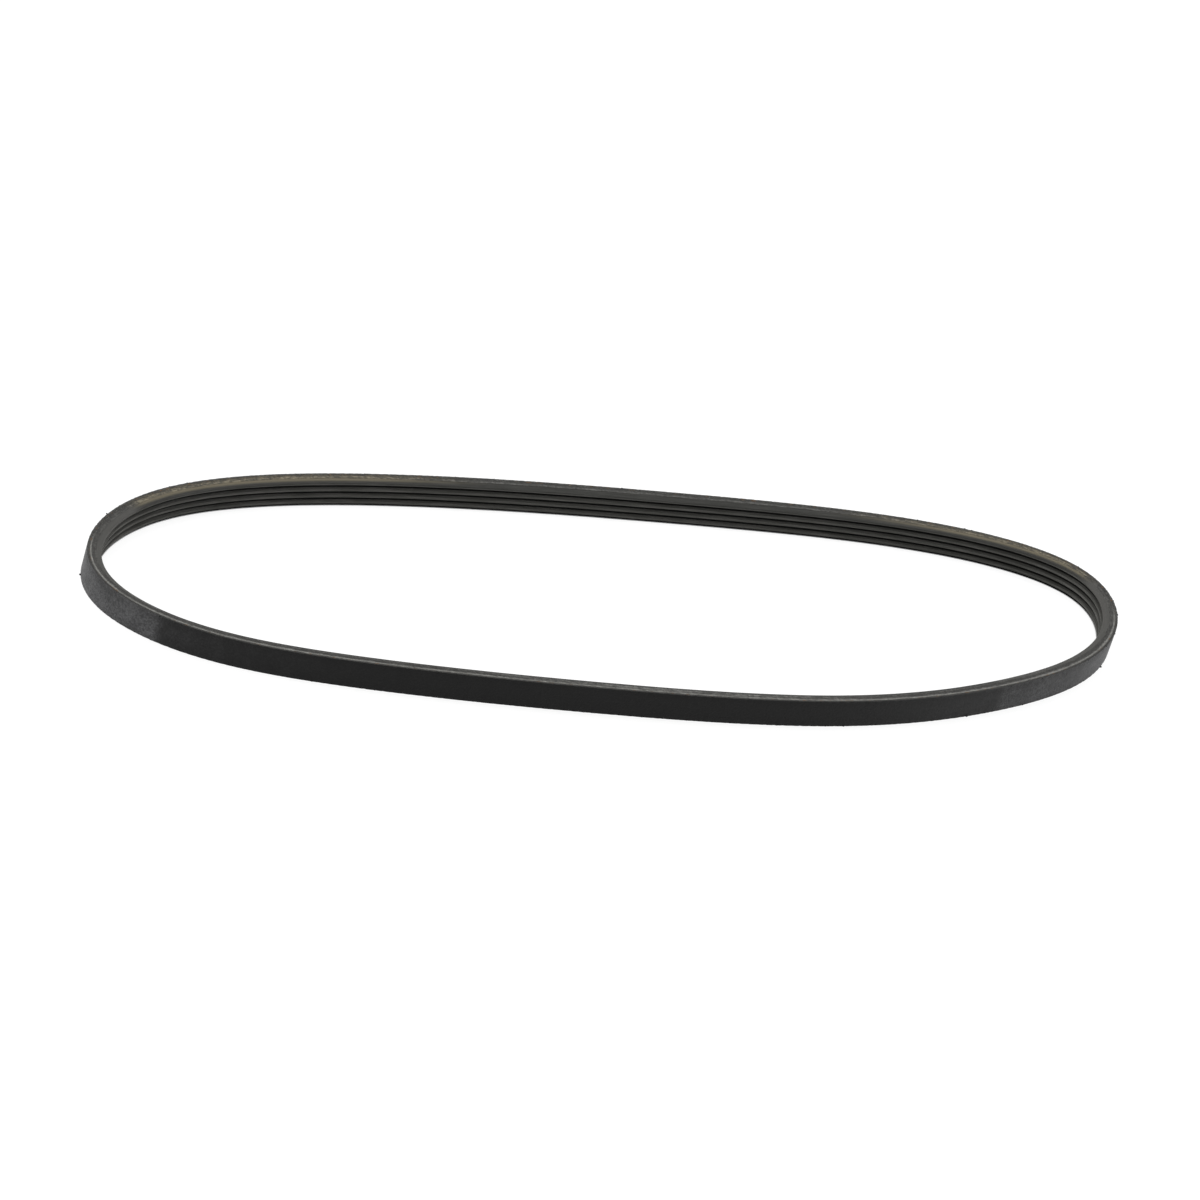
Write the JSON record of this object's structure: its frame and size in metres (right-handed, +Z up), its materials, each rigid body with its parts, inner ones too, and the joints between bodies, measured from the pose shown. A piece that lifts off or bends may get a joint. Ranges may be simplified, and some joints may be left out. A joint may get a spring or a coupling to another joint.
{
  "type": "alternator belt",
  "caption": "Endless multi-rib rubber drive belt for an engine's alternator, standing on its edge as a slack loop with ribs inside and a plain back outside.",
  "frame": {"origin": "middle of the loop's outline seen from above, on the surface that the belt's lower cut edge stands on", "axes": "+Z up across the belt's width, +X along the loop's longest extent, +Y across the loop"},
  "size_m": [0.541, 0.18, 0.0142],
  "materials": {
    "belt_rubber": "matt black moulded rubber with cut edges"
  },
  "bodies": {
    "root": {"ribbed_belt": "belt_rubber"}
  },
  "joints": []
}
